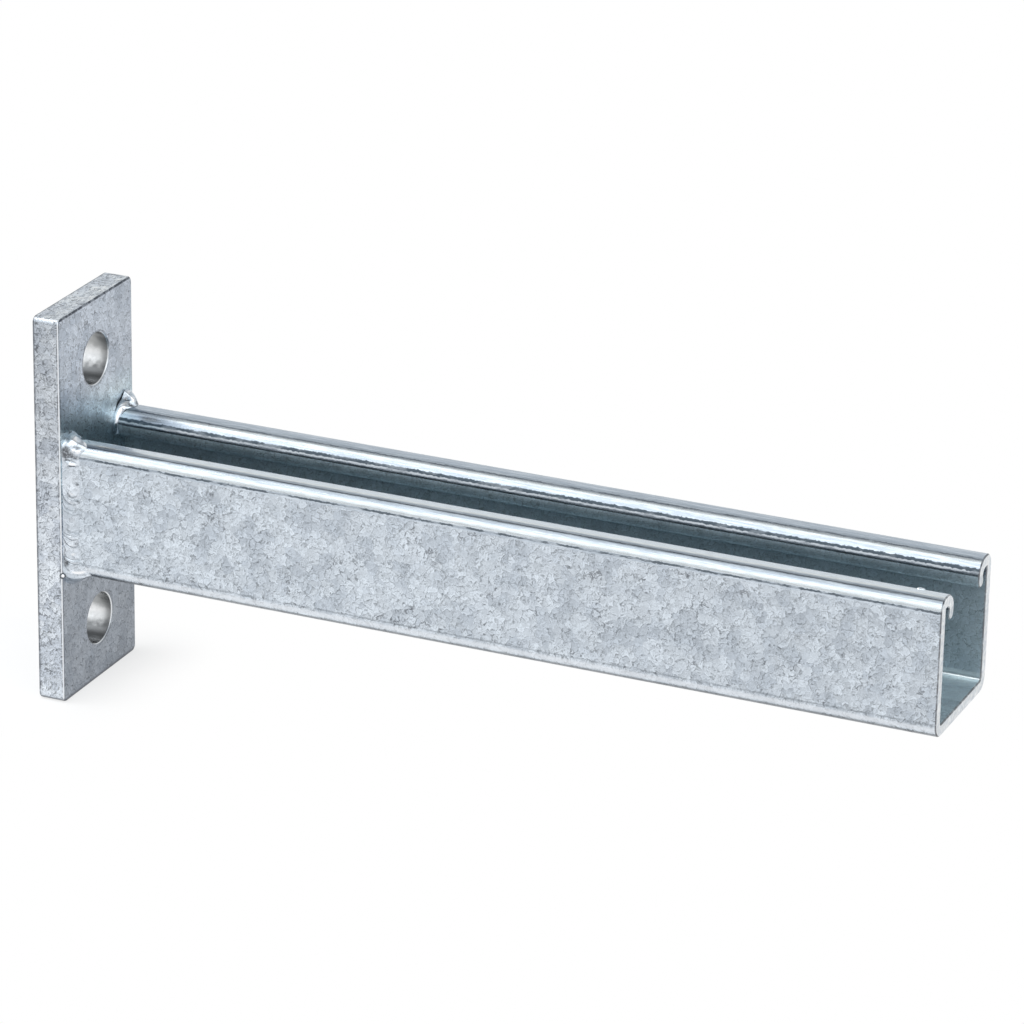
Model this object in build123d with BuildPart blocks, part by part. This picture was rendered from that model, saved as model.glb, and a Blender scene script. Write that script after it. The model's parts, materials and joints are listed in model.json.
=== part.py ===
from build123d import *
import os
from math import cos, hypot, pi

# Cantilever strut arm, in millimetres.
# X runs out from the wall along the arm, Y across it and Z up.
# The origin is the middle of the back plate's wall face.

# Strut: roll-formed channel, slot upward, sheet measured with its zinc coat
arm_reach = 276.0
strut_width = 41.3
strut_depth = 41.3
sheet = 3.5
slot_width = 21.0
lip_lean = 20.0
lip_leg = 0.2
base_bend = 4.6
shoulder_bend = 3.6
strut_rise = 0.7
cut_edge = 0.35

# Back plate: flat bar with one bolt hole above the strut and one below
plate_height = 119.0
plate_margin = 1.85
plate_thickness = 8.5
plate_corner = 2.0
plate_edge = 0.7
bolt_hole = 15.4
bolt_pitch = 81.6
hole_rim = 0.4

# Welds: reach is measured up the plate from the strut, grip along the strut
side_grip = 4.8
corner_grip = 7.0
base_reach = 4.0
base_grip = 5.0
left_crown_reach = 2.8
left_crown_grip = 7.0
right_crown_reach = 5.0
right_crown_grip = 4.9
slot_reach = 0.9
slot_grip = 1.6
bead_bulge = 0.5
ripple_pitch = 3.2
ripple_height = 0.35
root_depth = 0.8

# The plate stands out past the strut on each side by a margin that the side
# beads fill up to the plate's softened edge
plate_width = strut_width + 2 * plate_margin
side_reach = plate_margin - plate_edge

# Middle of the sheet in the strut's section, from one lip's tip to the other
section_plane = Plane.YZ.offset(plate_thickness)
skin = sheet / 2
half_width = strut_width / 2 - skin
base_height = strut_rise - strut_depth / 2 + skin
crown_height = strut_rise + strut_depth / 2 - skin
lip_width = (strut_width - slot_width) / 2
lip_radius = lip_width / 2 - skin
base_radius = base_bend - skin
shoulder_radius = min(shoulder_bend, lip_width / 2) - skin

with BuildLine() as sheet_line:
    base = Line((0, base_height), (half_width - base_radius, base_height))
    base_turn = JernArc(base @ 1, base % 1, base_radius, 90)
    wall = Line(base_turn @ 1, (half_width, crown_height - shoulder_radius))
    shoulder = JernArc(wall @ 1, wall % 1, shoulder_radius, 90)
    crown = Line(shoulder @ 1, (slot_width / 2 + skin + lip_radius, crown_height))
    lip_turn = JernArc(crown @ 1, crown % 1, lip_radius, 90 + lip_lean)
    leg = Line(lip_turn @ 1, lip_turn @ 1 + (lip_turn % 1) * lip_leg)
    mirror(about=Plane.YZ)
sheet_guide = section_plane.from_local_coords(sheet_line.wire())

# Places along the middle line, measured from a lip's tip, that size the welds
slot_side = leg.length + lip_turn.length / 2
crown_middle = leg.length + lip_turn.length + crown.length / 2
wall_start = crown_middle + crown.length / 2 + shoulder.length
wall_end = wall_start + wall.length
corner_middle = wall_end + base_turn.length / 2
corner_end = wall_end + base_turn.length
base_middle = corner_end + base.length

# Each row is a place, the bead's reach up the plate and its grip along the strut
corner_row = (corner_middle, (side_reach + base_reach) / 2, corner_grip)
base_bead = [
    corner_row,
    (corner_end, base_reach, base_grip),
    (base_middle, base_reach, base_grip),
]


def side_bead(crown_reach, crown_grip):
    """The rows of a side bead, whose return on the crown has this reach and grip."""
    return [
        (0, slot_reach, slot_grip),
        (slot_side, slot_reach, slot_grip),
        (crown_middle, crown_reach, crown_grip),
        (wall_start, side_reach, side_grip),
        (wall_end, side_reach, side_grip),
        corner_row,
    ]


def bead_rows(bead):
    """The bead's rows with more worked out between them, two to each ripple."""
    rows = []
    for start, end in zip(bead, bead[1:]):
        steps = max(1, round(2 * (end[0] - start[0]) / ripple_pitch))
        for i in range(steps):
            rows.append([a + (b - a) * i / steps for a, b in zip(start, end)])
    return rows + [bead[-1]]


def bead_section(place, reach, grip, side):
    """Section of the bead, square to the sheet, its root melted into the joint."""
    ripple = ripple_height * (1 - cos(2 * pi * place / ripple_pitch)) / 2
    grip = grip - ripple
    bulge = (bead_bulge - ripple) / hypot(reach, grip)
    from_start = place if side < 0 else 2 * base_middle - place
    spot = sheet_guide.position_at(from_start, PositionMode.LENGTH)
    along = sheet_guide.tangent_at(from_start, PositionMode.LENGTH)
    outward = along.cross(Vector(1, 0, 0))
    with BuildSketch(Plane(origin=spot, x_dir=outward, z_dir=-along)) as section:
        with BuildLine():
            Polyline((skin, grip), (skin - root_depth, -root_depth), (skin + reach, 0))
            ThreePointArc(
                (skin + reach, 0),
                (skin + reach / 2 + bulge * grip, grip / 2 + bulge * reach),
                (skin, grip),
            )
        make_face()
    return section.sketch


# Weld down each side of the strut, from the lip's tip to the base corner
with BuildPart() as left_side_weld:
    left_rows = bead_rows(side_bead(left_crown_reach, left_crown_grip))
    loft([bead_section(*row, -1) for row in left_rows], ruled=True)
left_side_weld.part.label = "left_side_weld"

with BuildPart() as right_side_weld:
    right_rows = bead_rows(side_bead(right_crown_reach, right_crown_grip))
    loft([bead_section(*row, 1) for row in right_rows], ruled=True)
right_side_weld.part.label = "right_side_weld"

# Weld under the strut, from one base corner to the other
with BuildPart() as base_weld:
    left_half = [bead_section(*row, -1) for row in bead_rows(base_bead)]
    right_half = [bead_section(*row, 1) for row in bead_rows(base_bead)[:-1]]
    loft(left_half + right_half[::-1], ruled=True)
base_weld.part.label = "base_weld"

# Back plate, with softened edges, its hole rims left square on the wall face
with BuildPart() as back_plate:
    with BuildSketch(Plane.YZ):
        RectangleRounded(plate_width, plate_height, plate_corner)
    extrude(amount=plate_thickness)
    plate_faces = back_plate.faces().sort_by(Axis.X)
    fillet(plate_faces[0].edges() + plate_faces[-1].edges(), plate_edge)
    with BuildSketch(Plane.YZ):
        with GridLocations(0, bolt_pitch, 1, 2):
            Circle(bolt_hole / 2)
    extrude(amount=plate_thickness, mode=Mode.SUBTRACT)
    hole_rims = back_plate.edges().filter_by(GeomType.CIRCLE).group_by(Axis.X)[-1]
    chamfer(hole_rims, hole_rim)
    add([left_side_weld.part, right_side_weld.part, base_weld.part], mode=Mode.SUBTRACT)
back_plate.part.label = "back_plate"

# Strut channel: the middle line thickened to the sheet, both lip tips rounded
with BuildPart() as strut_channel:
    with BuildSketch(section_plane):
        with BuildLine():
            offset(sheet_line.wire(), amount=skin)
        make_face()
    extrude(amount=arm_reach - plate_thickness)
    open_end = strut_channel.faces().sort_by(Axis.X)[-1]
    chamfer(open_end.edges(), cut_edge)
    add([left_side_weld.part, right_side_weld.part, base_weld.part], mode=Mode.SUBTRACT)
strut_channel.part.label = "strut_channel"

os.makedirs("parts", exist_ok=True)
export_step(back_plate.part, "parts/back_plate.step")
export_step(strut_channel.part, "parts/strut_channel.step")
export_step(left_side_weld.part, "parts/left_side_weld.step")
export_step(right_side_weld.part, "parts/right_side_weld.step")
export_step(base_weld.part, "parts/base_weld.step")
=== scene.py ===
import json
from math import cos, pi, radians, sin

import bpy
import numpy as np
from mathutils import Matrix, Vector


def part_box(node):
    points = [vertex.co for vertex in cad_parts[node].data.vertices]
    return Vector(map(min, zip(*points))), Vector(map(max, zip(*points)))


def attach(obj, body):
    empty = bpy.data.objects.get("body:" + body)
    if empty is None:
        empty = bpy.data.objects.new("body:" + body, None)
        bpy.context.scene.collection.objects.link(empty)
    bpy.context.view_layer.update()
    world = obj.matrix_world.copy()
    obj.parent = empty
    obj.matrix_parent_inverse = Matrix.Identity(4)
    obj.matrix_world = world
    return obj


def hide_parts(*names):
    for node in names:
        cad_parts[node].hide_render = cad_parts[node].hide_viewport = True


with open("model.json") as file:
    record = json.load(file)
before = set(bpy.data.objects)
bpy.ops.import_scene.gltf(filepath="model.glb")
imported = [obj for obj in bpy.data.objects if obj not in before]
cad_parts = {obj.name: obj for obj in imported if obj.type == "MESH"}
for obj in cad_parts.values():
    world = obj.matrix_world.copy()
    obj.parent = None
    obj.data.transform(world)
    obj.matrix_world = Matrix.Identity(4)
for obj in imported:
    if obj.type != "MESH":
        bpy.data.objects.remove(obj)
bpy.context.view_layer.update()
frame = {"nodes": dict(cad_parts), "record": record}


# Back plate: a short length of flat bar, sawn off square and drilled for two wall bolts.
# Mild steel, dipped in molten zinc after welding, which froze on it in small grey-blue flakes.
# The saw and the drill left its edges soft. The bores are all but bare steel, with a painted
# highlight and painted shade.

MM = 0.001
PLATE_EDGE = 0.7
plate = frame["nodes"]["back_plate"]
plate_low, plate_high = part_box("back_plate")
plate_front = plate_high.x / MM
plate_side = plate_high.y / MM
plate_top = plate_high.z / MM
wall_bolts = next(mount for mount in frame["record"]["mounts"] if mount["name"] == "wall_bolts")
hole_radius = wall_bolts["dims"]["hole_r_mm"]
hole_offset = wall_bolts["dims"]["spacing_y_mm"] / 2


def node(tree, kind, sockets=None, **settings):
    """Adds a node, sets its settings, and fills or links its sockets."""
    made = tree.nodes.new(kind)
    for name, value in settings.items():
        setattr(made, name, value)
    for key, value in (sockets or {}).items():
        if isinstance(value, bpy.types.NodeSocket):
            tree.links.new(value, made.inputs[key])
        else:
            made.inputs[key].default_value = value
    return made


def maths(tree, operation, *terms):
    """One Math node's result."""
    return node(tree, "ShaderNodeMath", dict(enumerate(terms)), operation=operation).outputs[0]


def product(tree, first, *others):
    """Values multiplied: of masks, only what all of them cover."""
    for other in others:
        first = maths(tree, "MULTIPLY", first, other)
    return first


def greatest(tree, first, *others):
    """The greatest of some values: of masks, all that any of them covers."""
    for other in others:
        first = maths(tree, "MAXIMUM", first, other)
    return first


def hypotenuse(tree, first, second):
    """The distance that two lengths at right angles make."""
    squares = [product(tree, length, length) for length in (first, second)]
    return maths(tree, "SQRT", maths(tree, "ADD", *squares))


def vector(tree, operation, first, second):
    """One Vector Math node's result."""
    sockets = {0: first, 1: second}
    return node(tree, "ShaderNodeVectorMath", sockets, operation=operation).outputs[0]


def ramp(tree, value, start, end, low=0.0, high=1.0):
    """A value led smoothly from low at start to high at end."""
    sockets = {"Value": value, "From Min": start, "From Max": end, "To Min": low, "To Max": high}
    made = node(tree, "ShaderNodeMapRange", sockets, interpolation_type="SMOOTHSTEP")
    return made.outputs["Result"]


def fall(tree, value, start, end):
    """A value led smoothly from 1 at start to 0 at end."""
    return ramp(tree, value, start, end, 1.0, 0.0)


def within(tree, value, middle, half_width, soft=0.5):
    """1 where a value is near the middle, fading to 0 at half the width from it."""
    off = maths(tree, "ABSOLUTE", maths(tree, "SUBTRACT", value, middle))
    return fall(tree, off, half_width * (1 - soft), half_width)


def turn_about(tree, sideways, upward):
    """Degrees turned from straight up towards one side, about the foot of both lengths."""
    return product(tree, maths(tree, "ARCTAN2", sideways, upward), 180 / pi)


def mixed(tree, factor, first, second):
    """Two values mixed by a factor."""
    sockets = {0: factor, 2: first, 3: second}
    return node(tree, "ShaderNodeMix", sockets, data_type="FLOAT").outputs[0]


def blend(tree, factor, first, second, how="MIX"):
    """Two colours mixed by a factor."""
    sockets = {0: factor, 6: first, 7: second}
    return node(tree, "ShaderNodeMix", sockets, data_type="RGBA", blend_type=how).outputs[2]


def shaded(tree, colour, shade):
    """The colour, brought down or up to a share of itself."""
    grey = node(tree, "ShaderNodeCombineColor", {0: shade, 1: shade, 2: shade}).outputs[0]
    return blend(tree, 1.0, colour, grey, "MULTIPLY")


def dimmed(tree, colour, amount, keep):
    """The colour, brought down to a share of itself where the amount is 1."""
    return shaded(tree, colour, ramp(tree, amount, 0.0, 1.0, 1.0, keep))


def noise(tree, place, scale, detail, roughness=0.5, distortion=0.0):
    """Noise over a place: its value first, then its colour."""
    sockets = {"Vector": place, "Scale": scale, "Detail": detail, "Roughness": roughness,
               "Distortion": distortion}
    return node(tree, "ShaderNodeTexNoise", sockets).outputs


def streaks(tree, place, stretch, scale):
    """Noise drawn out along one way."""
    return noise(tree, vector(tree, "MULTIPLY", place, stretch), scale, 4.0)[0]


def shifted(tree, place, scale, detail, reach):
    """A place pushed about by noise, by up to about half the reach."""
    colour = noise(tree, place, scale, detail)["Color"]
    centred = vector(tree, "SUBTRACT", colour, (0.5, 0.5, 0.5))
    push = node(tree, "ShaderNodeVectorMath", {0: centred, "Scale": reach}, operation="SCALE")
    return vector(tree, "ADD", place, push.outputs[0])


def empty_group(name, inputs, outputs):
    """A shader node group with named inputs and outputs."""
    tree = bpy.data.node_groups.new(name, "ShaderNodeTree")
    for socket, value in inputs.items():
        kind = "NodeSocketFloat" if isinstance(value, float) else "NodeSocketVector"
        tree.interface.new_socket(socket, in_out="INPUT", socket_type=kind).default_value = value
    for socket in outputs:
        tree.interface.new_socket(socket, in_out="OUTPUT", socket_type="NodeSocketFloat")
    return tree, tree.nodes.new("NodeGroupInput").outputs, tree.nodes.new("NodeGroupOutput")


# How the zinc froze: lengths and places in mm, and counts to a mm or to a flake
WIDE_WARP = (0.35, 2.0, 2.4)
FINE_WARP = (0.9, 1.0, 1.5)
OUTLINE_WIDTH = 0.26
RIM_WIDTH = 1.25 * OUTLINE_WIDTH
LIGHT_STEP = (0.19, -0.17, -0.21)
FOLDS = 1.7
FOLD_CONTRAST = 3.2
CREASES = 1.05
CREASE_STEPS = 3.0
CREASE_WIDTH = 0.30
CLOUD_FLAKES = 3.5
PATCH = 9.0
ELSEWHERE = (31.0, 17.0, 53.0)
GRAINS = 3.2
SPECKS = 0.5


def flake_edges(tree, place, flake, width):
    """1 on the thin outlines between flakes, 0 inside them."""
    sockets = {"Vector": place, "Scale": maths(tree, "DIVIDE", 1.0, flake)}
    edges = node(tree, "ShaderNodeTexVoronoi", sockets, feature="DISTANCE_TO_EDGE")
    return fall(tree, edges.outputs["Distance"], 0.0, maths(tree, "DIVIDE", width, flake))


def contours(tree, value, count, width):
    """Thin lines where a smooth value crosses even steps."""
    return fall(tree, maths(tree, "FRACT", product(tree, value, count)), 0.0, width)


def relief(tree, place, flake, count):
    """How rims and folds catch the light: above 0 on one side of each, below on the other."""
    rims, folds = [], []
    for at in (place, vector(tree, "ADD", place, LIGHT_STEP)):
        rims.append(flake_edges(tree, at, flake, RIM_WIDTH))
        folds.append(noise(tree, at, product(tree, count, FOLDS), 1.0, distortion=1.2)[0])
    rim = maths(tree, "SUBTRACT", rims[1], rims[0])
    fold = product(tree, maths(tree, "SUBTRACT", folds[0], folds[1]), FOLD_CONTRAST)
    return maths(tree, "ADD", rim, fold)


def zinc_flakes():
    """Frozen zinc: rounded flakes with thin outlines, curved creases, cloudy patches, stains along
    the lines, small specks and a fine grain, and the painted light and shade of rims and folds."""
    tree, given, out = empty_group(
        "zinc_flakes", {"Place": (0.0, 0.0, 0.0), "Flake": 2.6, "Patch": PATCH},
        ["Tone", "Cloud", "Outline", "Crease", "Relief", "Stain", "Speck", "Grain"],
    )
    there = given["Place"]
    flake = given["Flake"]
    count = maths(tree, "DIVIDE", 1.0, flake)
    warped = shifted(tree, shifted(tree, there, *WIDE_WARP), *FINE_WARP)
    cells = node(tree, "ShaderNodeTexVoronoi", {"Vector": warped, "Scale": count}).outputs
    tone = node(tree, "ShaderNodeSeparateColor", {0: cells["Color"]}).outputs[0]
    cloud = noise(tree, cells["Position"], maths(tree, "DIVIDE", count, CLOUD_FLAKES), 2.0, 0.6)[0]

    wide = noise(tree, there, 0.35, 3.0)[0]
    wide_too = noise(tree, vector(tree, "ADD", there, ELSEWHERE), 0.5, 3.0)[0]
    creased = ramp(tree, wide, 0.42, 0.56, 0.35, 1.0)
    outlined = ramp(tree, wide_too, 0.44, 0.58, 0.2, 1.0)
    folded = noise(tree, there, product(tree, count, CREASES), 1.6, distortion=1.5)[0]
    crease = product(tree, contours(tree, folded, CREASE_STEPS, CREASE_WIDTH), creased)
    outline = product(tree, flake_edges(tree, warped, flake, OUTLINE_WIDTH), outlined)
    raised = ramp(tree, greatest(tree, outlined, creased), 0.3, 1.0, 0.3, 1.05)
    relief_light = product(tree, relief(tree, warped, flake, count), raised)

    patch = noise(tree, there, maths(tree, "DIVIDE", 1.0, given["Patch"]), 3.0, 0.65)[0]
    stain = product(tree, greatest(tree, outline, crease), ramp(tree, patch, 0.54, 0.63),
                    ramp(tree, wide_too, 0.49, 0.55))
    dots = node(tree, "ShaderNodeTexVoronoi", {"Vector": there, "Scale": SPECKS}).outputs
    picked = node(tree, "ShaderNodeSeparateColor", {0: dots["Color"]}).outputs[1]
    speck = product(tree, fall(tree, dots["Distance"], 0.08, 0.16), ramp(tree, picked, 0.84, 0.9))
    grain = noise(tree, there, GRAINS, 3.0)[0]
    for name, socket in (
        ("Tone", tone), ("Cloud", cloud), ("Outline", outline), ("Crease", crease),
        ("Relief", relief_light), ("Stain", stain), ("Speck", speck), ("Grain", grain),
    ):
        tree.links.new(socket, out.inputs[name])
    return tree


flakes = zinc_flakes()
TONE_SPREAD = 0.08
OUTLINE_DARK = 0.4
CREASE_DARK = 1.15
RELIEF_SHADE = 1.4
DARKEST_RELIEF = -0.5
LIGHTEST_RELIEF = 0.13
SPECK_DARK = 0.85
STAIN = (0.15, 0.16, 0.18, 1)
GRAIN_HEIGHT = 0.02
LINE_DEPTH = 0.01


def new_material(name):
    """A material with only its surface shader, and the place on the arm in mm."""
    material = bpy.data.materials.new(name)
    material.use_nodes = True
    tree = material.node_tree
    tree.nodes.clear()
    surface = node(tree, "ShaderNodeBsdfPrincipled")
    output = node(tree, "ShaderNodeOutputMaterial", {"Surface": surface.outputs[0]})
    output.is_active_output = True
    where = node(tree, "ShaderNodeTexCoord").outputs["Object"]
    place = node(tree, "ShaderNodeVectorMath", {0: where, "Scale": 1 / MM}, operation="SCALE")
    return material, tree, surface, place.outputs[0]


def zinc(tree, place, pale, dull, flake, lines, stains, patch=PATCH):
    """Zinc flakes: their colour, with the light and shade of their rims and folds painted in, each
    flake's tone, and their height in mm.
    """
    group = node(tree, "ShaderNodeGroup", node_tree=flakes)
    tree.links.new(place, group.inputs["Place"])
    group.inputs["Flake"].default_value = flake
    group.inputs["Patch"].default_value = patch
    get = group.outputs
    colour = blend(tree, ramp(tree, get["Cloud"], 0.42, 0.64), pale, dull)
    # Painted light and shade: the lit and shaded sides of the rims and folds, put into the colour
    relief_light = greatest(tree, product(tree, get["Relief"], lines * RELIEF_SHADE), DARKEST_RELIEF)
    relief_light = maths(tree, "MINIMUM", relief_light, LIGHTEST_RELIEF)
    shade = product(
        tree,
        ramp(tree, get["Tone"], 0.0, 1.0, 1.0 - TONE_SPREAD, 1.0 + TONE_SPREAD),
        ramp(tree, get["Grain"], 0.3, 0.7, 0.93, 1.07),
        ramp(tree, get["Outline"], 0.0, 1.0, 1.0, 1.0 - lines * OUTLINE_DARK),
        ramp(tree, get["Crease"], 0.0, 1.0, 1.0, 1.0 - lines * CREASE_DARK),
        maths(tree, "ADD", relief_light, 1.0),
    )
    colour = shaded(tree, colour, shade)
    dark = greatest(tree, product(tree, get["Stain"], stains),
                    product(tree, get["Speck"], SPECK_DARK))
    colour = blend(tree, dark, colour, STAIN)
    sunk = product(tree, greatest(tree, get["Outline"], get["Crease"]), LINE_DEPTH)
    rise = maths(tree, "SUBTRACT", product(tree, get["Grain"], GRAIN_HEIGHT), sunk)
    return colour, get["Tone"], rise


def finish_zinc(tree, surface, colour, roughness, rise):
    """Puts colour, roughness and relief on a zinc surface."""
    bumped = node(tree, "ShaderNodeBump", {"Height": rise, "Distance": MM, "Strength": 1.0})
    tree.links.new(bumped.outputs[0], surface.inputs["Normal"])
    tree.links.new(colour, surface.inputs["Base Color"])
    tree.links.new(roughness, surface.inputs["Roughness"])
    surface.inputs["Metallic"].default_value = 1.0


FACE_PALE = (0.51, 0.56, 0.63, 1)
FACE_DULL = (0.42, 0.47, 0.54, 1)
EDGE_PALE = (0.72, 0.77, 0.83, 1)
EDGE_DULL = (0.56, 0.61, 0.68, 1)
TEAL_REFLECTION_TINT = (1.18, 1.27, 1.21, 1)
SMEARED_TOP_LIGHT = (1.55, 1.52, 1.48, 1)
RIM_HIGHLIGHT = (0.90, 0.92, 0.95, 1)
EDGE_SHADE_LINE = (0.12, 0.13, 0.15, 1)
DARKEST_SHADE_LINE = (0.07, 0.08, 0.10, 1)
HOLE_SHADE_LINE = (0.14, 0.15, 0.17, 1)
HOLE_RIM_HIGHLIGHT = (0.80, 0.82, 0.84, 1)
BORE_SHADE = (0.12, 0.125, 0.13, 1)
BORE_PALE = (0.44, 0.45, 0.45, 1)
BORE_HIGHLIGHT = (0.98, 0.99, 1.0, 1)
DROP_SHADE = (0.10, 0.11, 0.12, 1)
EDGE_DROP = (plate_front - 0.05, -plate_side + 0.5, -19.2)
DROP_SHADE_RADIUS = 0.78

# Where the face has painted shade below the arm, turns darker towards the far side and has a
# painted teal reflection above the arm, and where the edges have painted shade, from a start to an
# end in mm
SHADE_BELOW_ARM = (-22.0, -14.0)
DARKER_TO_FAR_SIDE = (4.0, 18.0)
TEAL_REFLECTION_ABOVE_ARM = (22.0, 36.0)
SHADED_EDGE = (-20.0, 45.0)

# The painted highlight and the dark lines of painted shade along the face's soft edges: degrees
# turned from the side towards the face, and half the width in degrees
RIM_HIGHLIGHT_TURN = (40.0, 22.0)
RIM_SHADE_LINES = ((8.0, 18.0), (72.0, 16.0))


def drop_shade_ring(tree, place, colour):
    """The colour, with a ring of painted shade round the foot of the drop on the plate's near front
    edge.
    """
    sockets = {0: place, 1: EDGE_DROP}
    off = node(tree, "ShaderNodeVectorMath", sockets, operation="DISTANCE").outputs["Value"]
    return blend(tree, product(tree, within(tree, off, DROP_SHADE_RADIUS, 0.30), 0.9), colour, DROP_SHADE)


def lit_bore_steel(tree, place, x, from_middle):
    """The all but bare steel in a bore, with painted light and shade by height from its middle:
    painted shade at the bottom, a painted highlight a little below the middle, painted shade at the
    top."""
    wobble = maths(tree, "SUBTRACT", streaks(tree, place, (1.0, 1.0, 1.0), 0.55), 0.5)
    level = maths(tree, "ADD", from_middle, product(tree, wobble, 3.0))
    less_shaded = ramp(tree, level, -0.75 * hole_radius, 0.5 * hole_radius)
    steel = blend(tree, less_shaded, BORE_SHADE, BORE_PALE)
    # Painted highlight: a bright band a little below the middle, fainter towards the face
    bright = product(tree, within(tree, level, -0.22 * hole_radius, 0.5 * hole_radius, 1.0),
                     ramp(tree, x, plate_front - 3.5, plate_front - 0.8, 1.0, 0.3))
    steel = blend(tree, bright, steel, BORE_HIGHLIGHT)
    return dimmed(tree, steel, ramp(tree, from_middle, 0.72 * hole_radius, 0.9 * hole_radius), 0.5)


def plate_zinc():
    """The plate's zinc: crackled on its sawn and rolled edges, smeared along the top with painted
    light, with painted shade lower down its face, and a painted highlight and painted shade in the
    bores."""
    material, tree, surface, place = new_material("plate_zinc")
    x, y, z = node(tree, "ShaderNodeSeparateXYZ", {0: place}).outputs
    side = maths(tree, "ABSOLUTE", y)
    height = maths(tree, "ABSOLUTE", z)
    near = maths(tree, "LESS_THAN", y, 0.0)
    broken = ramp(tree, streaks(tree, place, (1.0, 1.0, 0.6), 0.8), 0.42, 0.56)

    # The face, with painted shade below the arm, darker towards the far side and with a painted
    # teal reflection just above it, and the four edges, with painted shade higher up and painted
    # light on the smears along the top
    face, _, face_rise = zinc(tree, place, FACE_PALE, FACE_DULL, flake=2.4, lines=0.26, stains=0.5)
    # Painted shade: the face darker below the arm; it also turns darker towards the far side
    face = dimmed(tree, face, fall(tree, z, *SHADE_BELOW_ARM), 0.62)
    face = dimmed(tree, face, ramp(tree, y, *DARKER_TO_FAR_SIDE), 0.91)
    # Painted reflection: the face tinted teal just above the arm
    teal_reflection = product(tree, fall(tree, z, *TEAL_REFLECTION_ABOVE_ARM), maths(tree, "GREATER_THAN", z, 0.0))
    face = blend(tree, teal_reflection, face, TEAL_REFLECTION_TINT, "MULTIPLY")
    edge, _, edge_rise = zinc(tree, place, EDGE_PALE, EDGE_DULL, flake=1.8, lines=0.34, stains=0.8,
                              patch=6.0)
    edge = dimmed(tree, edge, ramp(tree, z, *SHADED_EDGE), 0.80)
    # Painted light: the streaky smears along the top face are brightened, standing in for the light
    # that falls on the top
    smears = ramp(tree, streaks(tree, place, (1.0, 0.3, 1.0), 1.0), 0.36, 0.54, 0.1, 1.0)
    smeared = product(tree, ramp(tree, z, plate_top - 0.75, plate_top - 0.5), smears)
    edge = blend(tree, smeared, edge, SMEARED_TOP_LIGHT, "MULTIPLY")
    on_face = ramp(tree, x, plate_front - 0.3, plate_front - 0.1)
    colour = blend(tree, on_face, edge, face)

    # The soft edges round the face: a painted highlight on the near one, and broken dark lines of
    # painted shade
    edge_x, edge_y = plate_front - PLATE_EDGE, plate_side - PLATE_EDGE
    rounding = turn_about(tree, maths(tree, "SUBTRACT", x, edge_x),
                          maths(tree, "SUBTRACT", side, edge_y))
    on_rounding = product(tree, maths(tree, "GREATER_THAN", x, edge_x - 0.5),
                          maths(tree, "GREATER_THAN", side, edge_y))
    # Painted highlight along the near soft edge
    rim = product(tree, within(tree, rounding, *RIM_HIGHLIGHT_TURN), on_rounding, near, 0.8)
    colour = blend(tree, rim, colour, RIM_HIGHLIGHT)
    # Painted shade: broken dark lines beside the highlight, and along the face's ends and far edge
    beside_rim = greatest(tree, *[within(tree, rounding, *line) for line in RIM_SHADE_LINES])
    colour = blend(tree, product(tree, beside_rim, on_rounding, broken, 0.65), colour, EDGE_SHADE_LINE)
    ends = ramp(tree, height, plate_top - 0.85, plate_top - 0.65)
    far_edge = ramp(tree, y, plate_side - 0.75, plate_side - 0.45)
    over_front = product(tree, greatest(tree, ends, far_edge),
                         ramp(tree, x, plate_front - 0.4, plate_front - 0.25),
                         ramp(tree, broken, 0.0, 1.0, 0.55, 0.95))
    colour = blend(tree, over_front, colour, DARKEST_SHADE_LINE)

    # Dark lines of painted shade where the edges meet the wall face and the floor
    foot_line = product(tree, fall(tree, z, -plate_top + 0.6, -plate_top + 1.7), 0.85)
    back_line = product(tree, fall(tree, x, 0.45, 1.1), ramp(tree, broken, 0.0, 1.0, 0.55, 0.9))
    off_wall_face = greatest(tree, ramp(tree, side, plate_side - 0.5, plate_side - 0.3),
                             ramp(tree, height, plate_top - 0.5, plate_top - 0.3),
                             ramp(tree, x, 0.25, 0.35))
    outer_line = product(tree, greatest(tree, back_line, foot_line), off_wall_face)
    colour = blend(tree, outer_line, colour, EDGE_SHADE_LINE)

    # The holes: a broken dark ring of painted shade on the face, a light rim with a painted
    # highlight, and the bore with its painted light and shade
    middle = product(tree, maths(tree, "SIGN", z), hole_offset)
    from_middle = maths(tree, "SUBTRACT", z, middle)
    from_axis = hypotenuse(tree, y, from_middle)
    # Painted shade in a broken ring round each hole, then a painted highlight on its rim
    ring = product(tree, within(tree, from_axis, hole_radius + 0.65, 0.35), broken, 0.55)
    colour = blend(tree, ring, colour, HOLE_SHADE_LINE)
    on_rim = fall(tree, from_axis, hole_radius + 0.26, hole_radius + 0.34)
    colour = blend(tree, on_rim, colour, HOLE_RIM_HIGHLIGHT)
    in_bore = fall(tree, from_axis, hole_radius + 0.02, hole_radius + 0.06)
    colour = blend(tree, in_bore, colour, lit_bore_steel(tree, place, x, from_middle))
    colour = drop_shade_ring(tree, place, colour)
    rise = product(tree, maths(tree, "SUBTRACT", 1.0, in_bore),
                   mixed(tree, on_face, edge_rise, face_rise))
    finish_zinc(tree, surface, colour, ramp(tree, in_bore, 0.0, 1.0, 0.34, 0.32), rise)
    return material


plate.data.materials.clear()
plate.data.materials.append(plate_zinc())


# Strut: cold-rolled steel sheet folded to a channel, slot upward, both lips rolled in.
# It is galvanised with the plate. The zinc lies in flakes on the walls and runs in streaks along
# the rolled lips. Painted highlights, painted shade and dark painted reflection lines follow the
# lips and the base's bends, painted shade darkens the inside, and a painted pool of light lies by
# the open end.

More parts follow.
